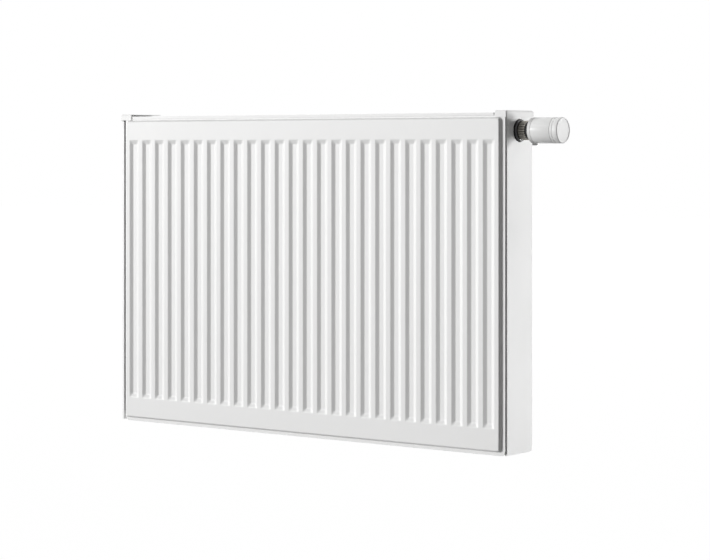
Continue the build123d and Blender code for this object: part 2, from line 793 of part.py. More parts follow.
# Black collar round the insert in the cover's hole
with BuildPart() as valve_collar:
    collar_inner = insert_thread_radius + collar_clearance
    turn(
        valve_plane, (collar_start, collar_inner), (collar_start, collar_radius),
        (collar_end, collar_radius), (collar_end, collar_inner),
    )
    chamfer(valve_collar.edges().group_by(Axis.X)[-1].sort_by(SortBy.RADIUS)[-1], collar_chamfer)
save(valve_collar.part, "valve_collar")

# Knurled union nut
with BuildPart() as union_nut:
    nut_inner = insert_thread_radius + nut_clearance
    turn(
        valve_plane, (nut_start, nut_inner), (nut_start, nut_radius), (nut_end, nut_radius),
        (nut_end, nut_lip_radius), (nut_end - nut_lip, nut_lip_radius), (nut_end - nut_lip, nut_inner),
    )
    with BuildSketch(across(valve_plane, nut_start + knurl_margin)):
        with PolarLocations(nut_radius + knurl_rise, knurl_count):
            Circle(knurl_radius)
    extrude(amount=nut_end - nut_start - 2 * knurl_margin, mode=Mode.SUBTRACT)
save(union_nut.part, "union_nut")

# Fixed base of the head: flange in the nut, neck, disc and slotted guide tube
with BuildPart() as head_base:
    turn(
        valve_plane, (insert_end, base_flange_bore), (insert_end, base_flange_radius),
        (nut_end - nut_lip, base_flange_radius), (nut_end - nut_lip, base_neck_radius),
        (base_web_start, base_neck_radius), (base_web_start, base_disc_radius),
        (base_disc_end, base_disc_radius), (base_disc_end, base_tube_radius),
        (base_tube_end, base_tube_radius), (base_tube_end, base_tube_bore),
        (base_disc_end, base_tube_bore), (base_disc_end, rod_radius + spindle_fit),
        (base_web_start, rod_radius + spindle_fit), (base_web_start, base_flange_bore),
    )
    with BuildSketch(across(valve_plane, base_slot_start)):
        Rectangle(2 * base_disc_radius, base_slot_width)
    extrude(amount=base_tube_end - base_slot_start, mode=Mode.SUBTRACT)
save(head_base.part, "head_base")

with BuildPart() as snap_ring:
    snap_ring_inner = base_neck_radius + snap_ring_clearance
    turn(
        valve_plane, (snap_ring_start, snap_ring_inner), (snap_ring_start, snap_ring_radius),
        (snap_ring_end, snap_ring_radius), (snap_ring_end, snap_ring_inner),
    )
save(snap_ring.part, "snap_ring")

# Index collar with a small tab below the hand wheel
index_end = head_start + index_length
with BuildPart() as index_collar:
    tab_far = head_radius + index_tab_height
    index_outer = head_radius + index_proud
    index_inner = base_disc_radius + base_disc_fit
    turn(
        valve_plane, (head_start, index_inner), (head_start, index_outer - joint_chamfer),
        (head_start + joint_chamfer, index_outer), (index_end, index_outer), (index_end, index_inner),
    )
    with BuildSketch(across(valve_plane, head_start)):
        with Locations((0, -(index_inner + tab_far) / 2)):
            Rectangle(index_tab_width, tab_far - index_inner)
    extrude(amount=index_tab_length)
    turn(
        valve_plane, (index_end, 0), (index_end, head_radius + index_tab_gap),
        (head_start + index_tab_length, head_radius + index_tab_gap), (head_start + index_tab_length, 0),
        mode=Mode.SUBTRACT,
    )
save(index_collar.part, "index_collar")

# Hand wheel: sleeve with a web that runs on the guide tube
wheel_start = index_end + wheel_gap
wheel_inner = head_radius - wheel_wall
with BuildPart() as hand_wheel:
    turn(
        valve_plane, (wheel_start, base_tube_radius + wheel_fit), (wheel_start, head_radius - joint_chamfer),
        (wheel_start + joint_chamfer, head_radius), (wheel_end - joint_chamfer, head_radius),
        (wheel_end, head_radius - joint_chamfer), (wheel_end, wheel_inner),
        (wheel_start + wheel_web, wheel_inner), (wheel_start + wheel_web, base_tube_radius + wheel_fit),
    )
    with BuildSketch(across(valve_plane, wheel_start)):
        with PolarLocations(limit_pin_place, 2):
            Circle(limit_pin_radius + limit_pin_fit)
    extrude(amount=wheel_web, mode=Mode.SUBTRACT)
save(hand_wheel.part, "hand_wheel")

with BuildPart() as limit_pins:
    with BuildSketch(across(valve_plane, wheel_start)):
        with PolarLocations(limit_pin_place, 2):
            Circle(limit_pin_radius)
    extrude(amount=limit_pin_length)
save(limit_pins.part, "limit_pins")

# End cap: clipped into the hand wheel, thin rim round a recessed face
with BuildPart() as end_cap:
    spigot_outer = wheel_inner - cap_spigot_gap
    spigot_inner = spigot_outer - cap_wall
    face_end = head_end - cap_recess
    turn(
        valve_plane, (wheel_end - cap_spigot, spigot_inner), (wheel_end - cap_spigot, spigot_outer),
        (wheel_end, spigot_outer), (wheel_end, head_radius - joint_chamfer),
        (wheel_end + joint_chamfer, head_radius), (head_end - joint_chamfer, head_radius),
        (head_end, head_radius - joint_chamfer), (head_end, head_radius - cap_rim),
        (face_end, head_radius - cap_rim), (face_end, 0), (face_end - cap_face, 0),
        (face_end - cap_face, spigot_inner),
    )
save(end_cap.part, "end_cap")

# Sensor: threaded carriage with two keys, capsule, push rod and safety spring
carriage_outer = wheel_inner - carriage_clearance
carriage_inner = base_tube_radius + carriage_inner_gap
cup_radius = capsule_flange_radius + carriage_cup_gap
with BuildPart() as sensor_carriage:
    turn(
        valve_plane, (carriage_start, carriage_inner), (carriage_start, carriage_outer),
        (carriage_end, carriage_outer), (carriage_end, carriage_lip_radius),
        (carriage_end - carriage_lip, carriage_lip_radius), (carriage_end - carriage_lip, cup_radius),
        (carriage_floor_end, cup_radius), (carriage_floor_end, carriage_inner),
    )
    with BuildSketch(across(valve_plane, carriage_start + key_margin)):
        for key_side in (-1, 1):
            with Locations((key_side * (key_reach + carriage_inner + key_margin) / 2, 0)):
                Rectangle(carriage_inner + key_margin - key_reach, key_width)
    extrude(amount=key_length)
save(sensor_carriage.part, "sensor_carriage")

with BuildPart() as sensor_capsule:
    flange_end = carriage_floor_end + capsule_flange
    turn(
        valve_plane, (capsule_start, 0), (capsule_start, capsule_radius),
        (carriage_floor_end, capsule_radius), (carriage_floor_end, capsule_flange_radius),
        (flange_end, capsule_flange_radius),
        (flange_end, capsule_dome_radius), (capsule_dome_end, capsule_dome_radius), (capsule_dome_end, 0),
    )
save(sensor_capsule.part, "sensor_capsule")

with BuildPart() as push_rod:
    rod_start = spindle_tip + rod_gap
    turn(
        valve_plane, (rod_start, 0), (rod_start, rod_radius), (capsule_start - rod_head, rod_radius),
        (capsule_start - rod_head, rod_head_radius), (capsule_start, rod_head_radius), (capsule_start, 0),
    )
save(push_rod.part, "push_rod")

safety_start = flange_end + safety_end_gap
safety_end = carriage_end - carriage_lip - safety_end_gap
safety_spring = coil(valve_plane, safety_start, safety_end, safety_radius, safety_wire, safety_turns)
save(safety_spring, "overtravel_spring")
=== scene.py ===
"""Looks of a white panel radiator with its valve head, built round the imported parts.

The pressed faces and the turned pieces of the valve head are surfaces worked out as whole arrays.
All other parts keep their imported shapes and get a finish.
"""

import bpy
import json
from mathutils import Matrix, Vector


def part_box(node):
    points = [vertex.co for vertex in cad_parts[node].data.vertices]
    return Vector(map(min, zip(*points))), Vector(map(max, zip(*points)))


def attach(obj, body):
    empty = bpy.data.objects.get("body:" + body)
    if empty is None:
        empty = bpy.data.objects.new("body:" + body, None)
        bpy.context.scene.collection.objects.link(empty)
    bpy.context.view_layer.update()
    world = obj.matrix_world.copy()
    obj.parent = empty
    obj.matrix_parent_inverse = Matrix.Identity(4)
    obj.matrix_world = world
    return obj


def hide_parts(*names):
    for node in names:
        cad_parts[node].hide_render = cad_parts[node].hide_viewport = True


bl_info = {
    "name": "Panel radiator looks",
    "version": (1, 0, 0),
    "blender": (4, 5, 0),
    "location": "View3D > Sidebar > Radiator",
    "description": "Builds the pressed faces, the valve head, the finishes and the stage of a radiator",
    "category": "Add Mesh",
}

import json
import math
from typing import NamedTuple

import bmesh
import bpy
import numpy as np

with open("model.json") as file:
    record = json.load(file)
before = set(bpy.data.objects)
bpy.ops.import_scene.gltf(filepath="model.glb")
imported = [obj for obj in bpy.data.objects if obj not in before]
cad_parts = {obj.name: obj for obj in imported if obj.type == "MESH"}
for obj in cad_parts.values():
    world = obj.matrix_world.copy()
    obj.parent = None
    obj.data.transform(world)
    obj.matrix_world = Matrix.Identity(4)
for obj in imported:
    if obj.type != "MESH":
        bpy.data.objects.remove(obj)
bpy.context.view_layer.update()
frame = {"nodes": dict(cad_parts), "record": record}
panel_low, panel_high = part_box("front_panel_face")
rear_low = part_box("rear_panel_face")[0]
wheel_low, wheel_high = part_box("hand_wheel")
cap_low, cap_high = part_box("end_cap")
nut_low, nut_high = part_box("union_nut")
collar_low, collar_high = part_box("valve_collar")
snap_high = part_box("snap_ring")[1]
head_y = (wheel_low.y + wheel_high.y) / 2
head_z = (wheel_low.z + wheel_high.z) / 2

SLOT_OF = {row["node"]: row["material_slot"] for row in frame["record"]["subparts"]}

# Pixels across the photograph, and millimetres across the camera's sensor
PHOTO_WIDTH = 710
SENSOR_WIDTH = 36.0

# Lines of the pressed grid in from the rim's edge, and from a bend out to the flat, in metres
RIM_LINES = np.array([0, 0.0003, 0.0025])
FLAT_MARGIN = 0.0005

# Lines on the slopes of the field's edge and of a flute's ends, as shares of their runs
STEP_SHARES = np.linspace(0.2, 0.8, 4)
END_SHARES = np.linspace(0.3, 0.7, 3)

# Lines along a flute from end to end, and the digits of a metre to which all lines are rounded
FLUTE_ROWS = 7
GRID_DIGITS = 7

# Share of the slopes over which a flute's wall and end run into each other
FLUTE_CORNER_BLEND = 0.1

# Points in a rounded corner, faces round one knurl, and metres within which points are merged
CORNER_STEPS = 5
KNURL_FACES = 12
MERGE_DISTANCE = 1e-7

# Detail and middle value of the noise in the finishes, and the height of their relief in metres
CLOUD_DETAIL = 4
GRAIN_DETAIL = 3
NOISE_MIDDLE = 0.5
RELIEF_HEIGHT = 0.0002


def length(name, default, description):
    """A size in metres that a user may change."""
    return bpy.props.FloatProperty(
        name=name, default=default, description=description, subtype="DISTANCE", unit="LENGTH", precision=5)


def tint(name, default, description):
    """A surface colour that a user may change."""
    return bpy.props.FloatVectorProperty(
        name=name, default=default, description=description, subtype="COLOR", size=3, min=0, max=1)


def number(name, default, description):
    """A plain number that a user may change."""
    return bpy.props.FloatProperty(name=name, default=default, description=description)


def count(name, default, least, description):
    """A whole number that a user may change."""
    return bpy.props.IntProperty(name=name, default=default, min=least, description=description)


def direction(name, default, description):
    """A direction that a user may change."""
    return bpy.props.FloatVectorProperty(
        name=name, default=default, description=description, subtype="DIRECTION", size=len(default))


def place(name, default, description):
    """A place, or a width and a height, in metres, that a user may change."""
    return bpy.props.FloatVectorProperty(
        name=name, default=default, description=description, subtype="XYZ_LENGTH", unit="LENGTH",
        size=len(default))


class RadiatorPressing(bpy.types.PropertyGroup):
    """Sizes of the pressed faces."""

    sheet: length("Sheet", 0.00125, "Thickness of the pressed steel")
    rim_side: length("Side rim", 0.0073, "Flat rim beside the raised field at the right end")
    rim_bottom: length("Bottom rim", 0.006, "Flat rim below the raised field")
    rim_top: length("Top rim", 0.007, "Flat rim above the raised field")
    rim_corner: length("Rim corner", 0.010, "Corner radius of the rim")
    step_run: length("Step run", 0.0039, "Slope of the raised field's edge")
    step_power: number("Step power", 2.0, "How steeply the field's edge starts at its foot")
    step_round: length("Step rounding", 0.0004, "Rounding at the foot of the field's edge")
    field_corner: length("Field corner", 0.006, "Corner radius of the raised field")
    flute_count: count("Flutes", 26, 1, "Upright flutes in a face")
    flute_pitch: length("Flute pitch", 0.1 / 3, "Distance from flute to flute")
    flute_width: length("Flute width", 0.0230, "Width of a flute at the surface")
    flute_depth: length("Flute depth", 0.0032, "Depth of a flute")
    wall_run: length("Wall run", 0.0064, "Slope of a flute's long walls")
    wall_round: length("Wall rounding", 0.0009, "Rounding of a flute's edges")
    end_run: length("End run", 0.0075, "Slope of a flute's ends")
    lower_header: length("Lower header", 0.037, "Plain field below the flutes")
    upper_header: length("Upper header", 0.035, "Plain field above the flutes")


class RadiatorHead(bpy.types.PropertyGroup):
    """Sizes of the turned pieces of the valve head."""

    edge: length("Edge radius", 0.0016, "Rounding of the cap's outer edge")
    joint: length("Joint radius", 0.0005, "Rounding beside the joint lines")
    joint_gap: length("Joint gap", 0.0008, "Width of the head's two joint lines")
    line_depth: length("Line depth", 0.0008, "Depth of the line round the cap")
    line_run: length("Line run", 0.0043, "From the joint of the sleeve to the line round the cap")
    cap_rim: length("Cap rim", 0.0022, "Width of the rim round the cap's face")
    cap_recess: length("Cap recess", 0.0008, "Depth of the cap's face behind its rim")
    cap_face: length("Cap face", 0.0020, "Thickness of the cap's face")
    cap_wall: length("Cap wall", 0.0018, "Thickness of the cap's sleeve inside the hand wheel")
    wall: length("Wall", 0.00235, "Thickness of the hand wheel's sleeve")
    nut_wall: length("Nut wall", 0.0044, "Thickness of the nut")
    nut_chamfer: length("Nut chamfer", 0.0012, "Chamfer at the nut's two ends")
    knurl_depth: length("Knurl depth", 0.0022, "Depth of the nut's grooves")
    knurls: count("Knurls", 24, 3, "Grooves round the nut")
    # The snap ring's band runs back over the nut's end: partly the real ring, partly a dark band of painted
    # shade between nut and head
    ring_shade_reach: length("Ring reach", 0.0045, "How far the snap ring runs back over the nut's end")
    ring_step: length("Ring step", 0.0008, "From the nut's surface in to the snap ring's")
    collar_wall: length("Collar wall", 0.0035, "Thickness of the black collar")
    collar_edge: length("Collar edge", 0.0024, "Rounding of the black collar's outer edge")
    segments: count("Segments", 128, 12, "Faces round a turned piece")


class RadiatorFinishes(bpy.types.PropertyGroup):
    """Colours of the finishes."""

    enamel: tint("Enamel", (0.86, 0.86, 0.855), "Baked white enamel of the steel parts")
    white_plastic: tint("White plastic", (0.87, 0.87, 0.865), "Moulded white plastic of the head")
    black_plastic: tint("Black plastic", (0.012, 0.012, 0.014), "Moulded black plastic")
    nickel: tint("Nickel", (0.24, 0.225, 0.2), "Dull plating of the plugs and the insert")
    # The nut's plating, made lighter than the plain nickel on the ridges as a painted highlight
    ridge_plating_and_highlight: tint("Ridge", (0.46, 0.44, 0.40), "Plating on the nut's ridges")
    # Painted shade: the near-black colour the nut's grooves are darkened to, in place of the shade falling
    # in them
    groove: tint("Groove", (0.012, 0.012, 0.012), "Dark bottom of the nut's grooves")
    brass: tint("Brass", (0.72, 0.53, 0.26), "Turned brass")
    steel: tint("Steel", (0.56, 0.56, 0.57), "Plain steel")
    rubber: tint("Rubber", (0.02, 0.02, 0.02), "Black sealing rubber")
    can: tint("Can", (0.78, 0.78, 0.79), "Drawn aluminium of the sensor")


class RadiatorStage(bpy.types.PropertyGroup):
    """Floor, lights and camera."""

    floor_drop: length("Floor drop", 1.0, "Floor below the radiator's bottom edge")
    floor_reach: length("Floor reach", 40.0, "Floor from its middle to each side")
    floor_colour: tint("Floor colour", (0.3, 0.3, 0.3), "Colour of the floor as the light meets it")
    floor_glow: number("Floor glow", 1.19, "Brightness of the floor's white where it is seen")
    floor_share: number("Floor share", 0.8, "Share of that white where the floor is seen")
    world_light: number("World light", 0.03, "Strength of the even light from all round")
    key_aim: direction("Key aim", (1.2, 1.0, -0.22), "Direction of the far soft light from the front left")
    key_spread: number("Key spread", 12.0, "Degrees across the far soft light")
    key_power: number("Key power", 2.85, "Watts on a square metre from the far soft light")
    strip_place: place("Strip place", (-0.65, -1.45, 1.82), "The near soft light above the front")
    strip_target: place("Strip target", (0.0, -0.1, 0.45), "Where the near light points")
    strip_size: place("Strip size", (2.4, 0.1), "Width and height of the near light")
    strip_power: number("Strip power", 6.5, "Watts of the near light")
    side_place: place("Side place", (3.38, 3.74, 0.1), "The soft light behind the right end")
    side_target: place("Side target", (0.45, -0.06, 0.3), "Where the side light points")
    side_size: place("Side size", (0.8, 2.2), "Width and height of the side light")
    side_power: number("Side power", 155.0, "Watts of the side light")
    top_place: place("Top place", (0.6, 1.0, 3.0), "The soft light above and behind")
    top_target: place("Top target", (0.5, 0.0, 0.5), "Where the top light points")
    top_size: place("Top size", (2.0, 2.0), "Width and height of the top light")
    top_power: number("Top power", 35.0, "Watts of the top light")
    camera_place: place("Camera place", (2.564, -3.393, 0.538), "Camera to the right and in front")
    camera_turn: number("Camera turn", 36.6, "Degrees that the camera looks to the left")
    focal_px: number("Focal length", 2238.0, "Focal length in pixels of the picture's width")
    horizon_px: number("Horizon", 132.0, "Pixels from the picture's middle up to the horizon")


# Surfaces

def climbed(distance, run, power, rounding):
    """Share of a curved slope climbed at a distance past its foot.

    With s as the distance's share of the run, it is 1 - (1 - s)^power: steepest at the foot, level at the
    end. At the foot s starts as the parabola (s + r)^2 / 4r, where r is the rounding's share of the run.
    """
    s, r = distance / run, rounding / run
    s = np.where(s < r, np.maximum(s + r, 0) ** 2 / (4 * r), s)
    return 1 - (1 - np.minimum(s, 1)) ** power


def eased(share, rounding):
    """A ramp from 0 to 1 over the same range of the share, with both of its ends rounded.

    The ramp is averaged over a window of twice the rounding, so its ends become parabolas: the
    difference of the ramp's integral at the window's two sides, over the window.
    """
    def integral(s):
        return np.clip(s, 0, 1) ** 2 / 2 + np.maximum(s - 1, 0)
    return (integral(share + rounding) - integral(share - rounding)) / (2 * rounding)


def inside_rounded_box(x, z, low, high, corner):
    """Distance inside a rectangle with rounded corners, negative outside it.

    qx and qz say how far a point lies past the lines through the corners' centres. The distance is the
    corner's radius less the length of their positive parts, less the larger of them where both are negative.
    """
    middle = (np.array(low) + np.array(high)) / 2
    half = (np.array(high) - np.array(low)) / 2 - corner
    qx = np.abs(x - middle[0]) - half[0]
    qz = np.abs(z - middle[1]) - half[1]
    outside = np.hypot(np.maximum(qx, 0), np.maximum(qz, 0))
    return corner - outside - np.minimum(np.maximum(qx, qz), 0)


def soft_min(a, b, blend):
    """The smaller of two arrays, with a parabola of the given width where they cross."""
    near = np.maximum(blend - np.abs(a - b), 0) / blend
    return np.minimum(a, b) - near ** 2 * blend / 4


def corner_to_arc(x, z, low, high, radius):
    """Bend the corner squares of a rectangle's grid into quarter discs.

    In each corner square the two distances from the arc's centre, as shares u and v of the radius,
    become u * sqrt(1 - v^2 / 2) and v * sqrt(1 - u^2 / 2).
    """
    middle = (np.array(low) + np.array(high)) / 2
    arc = (np.array(high) - np.array(low)) / 2 - radius
    u = np.clip((np.abs(x - middle[0]) - arc[0]) / radius, 0, 1)
    v = np.clip((np.abs(z - middle[1]) - arc[1]) / radius, 0, 1)
    shift_x = (u * np.sqrt(1 - v ** 2 / 2) - u) * radius
    shift_z = (v * np.sqrt(1 - u ** 2 / 2) - v) * radius
    return x + np.sign(x - middle[0]) * shift_x, z + np.sign(z - middle[1]) * shift_z


def bend_lines(run, rounding):
    """Grid lines over a slope and the rounding at its two ends, with one on the flat at each end."""
    bend = rounding * np.array([-1, 0, 1])
    margin = rounding + FLAT_MARGIN
    return np.concatenate([[-margin], bend, run + bend, [run + margin]])


def pressed_grid(p):
    """Heights of a pressed face over its seam plane, on lines that crowd where the sheet bends.

    Height is the sheet, plus the field's rise times the share climbed inside the field's foot, minus the
    flute depth times the eased smaller share of a flute's wall run and end run.
    """
    left_x, right_x, low_z, high_z = panel_low.x, panel_high.x, panel_low.z, panel_high.z
    rise = panel_high.y - panel_low.y - p.sheet
    foot_low = (p.rim_side - right_x, low_z + p.rim_bottom)
    foot_high = (right_x - p.rim_side, high_z - p.rim_top)
    pit_low = foot_low[1] + p.step_run + p.lower_header
    pit_high = foot_high[1] - p.step_run - p.upper_header

    step_lines = np.concatenate([bend_lines(p.step_run, p.step_round), p.step_run * STEP_SHARES])
    wall_lines = bend_lines(p.wall_run, p.wall_round)
    end_lines = np.concatenate([bend_lines(p.end_run, p.wall_round), p.end_run * END_SHARES])
    pit_rows = np.linspace(pit_low, pit_high, FLUTE_ROWS)[1:-1]
    centres = (np.arange(p.flute_count) - (p.flute_count - 1) / 2) * p.flute_pitch
    left_walls = centres[:, None] - p.flute_width / 2 + wall_lines
    right_walls = centres[:, None] + p.flute_width / 2 - wall_lines
    xs = np.unique(np.concatenate([
        left_x + RIM_LINES, foot_low[0] + step_lines, left_walls.ravel(), right_walls.ravel(),
        foot_high[0] - step_lines, right_x - RIM_LINES]).round(GRID_DIGITS))
    zs = np.unique(np.concatenate([
        low_z + RIM_LINES, foot_low[1] + step_lines, pit_low + end_lines, pit_rows,
        pit_high - end_lines, foot_high[1] - step_lines, high_z - RIM_LINES]).round(GRID_DIGITS))

    x, z = np.meshgrid(xs, zs)
    nearest = np.abs(x[..., None] - centres).min(axis=-1)
    wall_share = (p.flute_width / 2 - nearest) / p.wall_run
    end_share = np.minimum(z - pit_low, pit_high - z) / p.end_run
    pit = eased(soft_min(wall_share, end_share, FLUTE_CORNER_BLEND), p.wall_round / p.wall_run)
    x, z = corner_to_arc(x, z, (left_x, low_z), (right_x, high_z), p.rim_corner)
    inside = inside_rounded_box(x, z, foot_low, foot_high, p.field_corner)
    field = climbed(inside, p.step_run, p.step_power, p.step_round)
    return x, z, p.sheet + rise * field - p.flute_depth * pit


def arc_corners(rows):
    """A closed outline with each corner swapped for a short curve, from rows of x, radius and rounding.

    A corner's curve is the parabola from a point on one side to a point on the other, both at the
    rounding's distance from it, pulled towards the corner: (1-t)^2 a + 2t(1-t) c + t^2 b.
    """
    corners, rounding = np.split(np.array(rows, float), [2], axis=1)
    before = np.roll(corners, 1, axis=0) - corners
    after = np.roll(corners, -1, axis=0) - corners
    start = corners + before / np.linalg.norm(before, axis=1, keepdims=True) * rounding
    stop = corners + after / np.linalg.norm(after, axis=1, keepdims=True) * rounding
    t = np.linspace(0, 1, CORNER_STEPS)[None, :, None]
    curve = (1 - t) ** 2 * start[:, None] + 2 * t * (1 - t) * corners[:, None] + t ** 2 * stop[:, None]
    return curve.reshape(-1, 2)


def turned_grid(outline, segments, knurls=0, depth=0.0, knurl_from=0.0):
    """A closed outline of (x, radius) turned about the valve's axis.

    Where the radius passes knurl_from, it loses depth times a raised cosine that repeats knurls times.
    """
    angle = np.linspace(0, 2 * math.pi, segments, endpoint=False)[None, :]
    along, radius = outline[:, :1] * np.ones_like(angle), outline[:, 1:] * np.ones_like(angle)
    groove = (0.5 - 0.5 * np.cos(knurls * angle)) * depth
    radius = radius - np.where(radius > knurl_from, groove, 0)
    return np.stack([along, head_y + radius * np.cos(angle), head_z + radius * np.sin(angle)], axis=-1)


def grid_faces(rows, columns, wrap_rows, wrap_columns):
    """Corner numbers of the quads between the lines of a grid, closed round where asked."""
    r = np.arange(rows if wrap_rows else rows - 1)[:, None]
    c = np.arange(columns if wrap_columns else columns - 1)[None, :]
    r_next, c_next = (r + 1) % rows, (c + 1) % columns
    return np.stack([
        r * columns + c, r * columns + c_next, r_next * columns + c_next, r_next * columns + c,
    ], axis=-1).reshape(-1, 4)


def make_piece(name, points, faces, body, node):
    """Put an array of points and quads into a new smooth mesh that rides on a body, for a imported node."""
    mesh = bpy.data.meshes.new(name)
    mesh.from_pydata(points.reshape(-1, 3), [], faces)
    mesh.shade_smooth()
    piece = bpy.data.objects.new(name, mesh)
    bpy.context.scene.collection.objects.link(piece)
    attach(piece, body)
    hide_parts(node)
    return piece


def close_shell(piece):
    """Merge the points that fall together on the axis and turn all faces outwards."""
    shell = bmesh.new()
    shell.from_mesh(piece.data)
    bmesh.ops.remove_doubles(shell, verts=shell.verts, dist=MERGE_DISTANCE)
    bmesh.ops.recalc_face_normals(shell, faces=shell.faces)
    shell.to_mesh(piece.data)
    shell.free()
    return piece


def turned_piece(name, rows, body, node, segments=None, **knurl):
    """A closed shell turned from an outline with eased corners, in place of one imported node."""
    grid = turned_grid(arc_corners(rows), segments or bpy.context.scene.radiator_head.segments, **knurl)
    piece = make_piece(name, grid, grid_faces(*grid.shape[:2], True, True), body, node)
    return close_shell(piece)


def mark_depth(piece, surface, depth):
    """Store on each point of a turned piece how deep it lies below the surface's radius, as a share: the
    mask of the nut's painted groove shade.
    """
    places = np.empty(3 * len(piece.data.vertices))
    piece.data.vertices.foreach_get("co", places)
    y, z = places.reshape(-1, 3)[:, 1:].T
    share = np.clip((surface - np.hypot(y - head_y, z - head_z)) / depth, 0, 1)
    piece.data.attributes.new("depth", "FLOAT", "POINT").data.foreach_set("value", share)


# Finishes

class Finish(NamedTuple):
    """A colour's name, how far and how coarsely colour and gloss vary, and how strong the relief is."""

    colour: str
    spread: float
    cloud_scale: float
    grain_scale: float
    roughness: float
    roughness_spread: float
    relief: float
    metallic: float = 0.0


FINISHES = {
    "white_enamel": Finish(
        "enamel", spread=0.02, cloud_scale=9, grain_scale=900,
        roughness=0.46, roughness_spread=0.08, relief=0.05),
    "white_plastic": Finish(
        "white_plastic", spread=0.02, cloud_scale=40, grain_scale=2500,
        roughness=0.22, roughness_spread=0.06, relief=0.05),
    "satin_plastic": Finish(
        "white_plastic", spread=0.02, cloud_scale=40, grain_scale=1800,
        roughness=0.46, roughness_spread=0.08, relief=0.08),
    "black_plastic": Finish(
        "black_plastic", spread=0.2, cloud_scale=120, grain_scale=2500,
        roughness=0.13, roughness_spread=0.08, relief=0.05),
    "nickel": Finish(
        "nickel", spread=0.2, cloud_scale=150, grain_scale=3000,
        roughness=0.34, roughness_spread=0.15, relief=0.08, metallic=1.0),
    # The nut's finish: plating lightened as a painted highlight, its grooves darkened by painted shade
    "nickel_with_painted_knurl_light": Finish(
        "ridge_plating_and_highlight", spread=0.2, cloud_scale=150, grain_scale=3000,
        roughness=0.3, roughness_spread=0.15, relief=0.08, metallic=1.0),
    "brass": Finish(
        "brass", spread=0.15, cloud_scale=150, grain_scale=3000,
        roughness=0.3, roughness_spread=0.15, relief=0.08, metallic=1.0),
    "bare_steel": Finish(
        "steel", spread=0.2, cloud_scale=90, grain_scale=2500,
        roughness=0.36, roughness_spread=0.2, relief=0.1, metallic=1.0),
    "capsule_metal": Finish(
        "can", spread=0.1, cloud_scale=120, grain_scale=2500,
        roughness=0.32, roughness_spread=0.15, relief=0.06, metallic=1.0),
    "rubber": Finish(
        "rubber", spread=0.3, cloud_scale=150, grain_scale=2000,
        roughness=0.7, roughness_spread=0.15, relief=0.15),
}


def variation_group():
    """A node group that varies a colour, a roughness and a height over the surface."""
    found = bpy.data.node_groups.get("surface_variation")
    if found:
        return found
    group = bpy.data.node_groups.new("surface_variation", "ShaderNodeTree")
    for side, values in (
            ("INPUT", ("Spread", "Scale", "Grain scale", "Roughness", "Roughness spread")),
            ("OUTPUT", ("Roughness", "Height"))):
        group.interface.new_socket(name="Colour", in_out=side, socket_type="NodeSocketColor")
        for value in values:
            group.interface.new_socket(name=value, in_out=side, socket_type="NodeSocketFloat")
    make, link = group.nodes.new, group.links.new
    given, result = make("NodeGroupInput"), make("NodeGroupOutput")
    coordinates = make("ShaderNodeTexCoord")
    cloud, grain = make("ShaderNodeTexNoise"), make("ShaderNodeTexNoise")
    cloud.inputs["Detail"].default_value = CLOUD_DETAIL
    grain.inputs["Detail"].default_value = GRAIN_DETAIL
    for texture, scale in ((cloud, "Scale"), (grain, "Grain scale")):
        link(coordinates.outputs["Object"], texture.inputs["Vector"])
        link(given.outputs[scale], texture.inputs["Scale"])
    centre = make("ShaderNodeMath")
    centre.operation = "SUBTRACT"
    centre.inputs[1].default_value = NOISE_MIDDLE
    link(cloud.outputs["Fac"], centre.inputs[0])
    gain = make("ShaderNodeMath")
    gain.operation = "MULTIPLY_ADD"
    gain.inputs[2].default_value = 1.0
    link(centre.outputs[0], gain.inputs[0])
    link(given.outputs["Spread"], gain.inputs[1])
    shade = make("ShaderNodeVectorMath")
    shade.operation = "SCALE"
    link(given.outputs["Colour"], shade.inputs[0])
    link(gain.outputs[0], shade.inputs["Scale"])
    rough = make("ShaderNodeMath")
    rough.operation = "MULTIPLY_ADD"
    link(centre.outputs[0], rough.inputs[0])
    link(given.outputs["Roughness spread"], rough.inputs[1])
    link(given.outputs["Roughness"], rough.inputs[2])
    link(shade.outputs[0], result.inputs["Colour"])
    link(rough.outputs[0], result.inputs["Roughness"])
    link(grain.outputs["Fac"], result.inputs["Height"])
    return group


def finish_of(name):
    """A finish's Principled material, made once: colour, gloss and relief vary through the shared group."""
    made = bpy.data.materials.get(f"{name}_finish")
    if made:
        return made
    if name not in FINISHES:
        raise RuntimeError(f"the record has a slot with no finish here: {name}")
    look = FINISHES[name]
    colour = getattr(bpy.context.scene.radiator_finishes, look.colour)
    made = bpy.data.materials.new(f"{name}_finish")
    made.use_nodes = True
    tree = made.node_tree
    surface = tree.nodes["Principled BSDF"]
    surface.inputs["Metallic"].default_value = look.metallic
    varied = tree.nodes.new("ShaderNodeGroup")
    varied.node_tree = variation_group()
    varied.inputs["Colour"].default_value = (*colour, 1)
    varied.inputs["Spread"].default_value = look.spread
    varied.inputs["Scale"].default_value = look.cloud_scale
    varied.inputs["Grain scale"].default_value = look.grain_scale
    varied.inputs["Roughness"].default_value = look.roughness
    varied.inputs["Roughness spread"].default_value = look.roughness_spread
    relief = tree.nodes.new("ShaderNodeBump")
    relief.inputs["Strength"].default_value = look.relief
    relief.inputs["Distance"].default_value = RELIEF_HEIGHT
    tree.links.new(varied.outputs["Colour"], surface.inputs["Base Color"])
    tree.links.new(varied.outputs["Roughness"], surface.inputs["Roughness"])
    tree.links.new(varied.outputs["Height"], relief.inputs["Height"])
    tree.links.new(relief.outputs["Normal"], surface.inputs["Normal"])
    return made


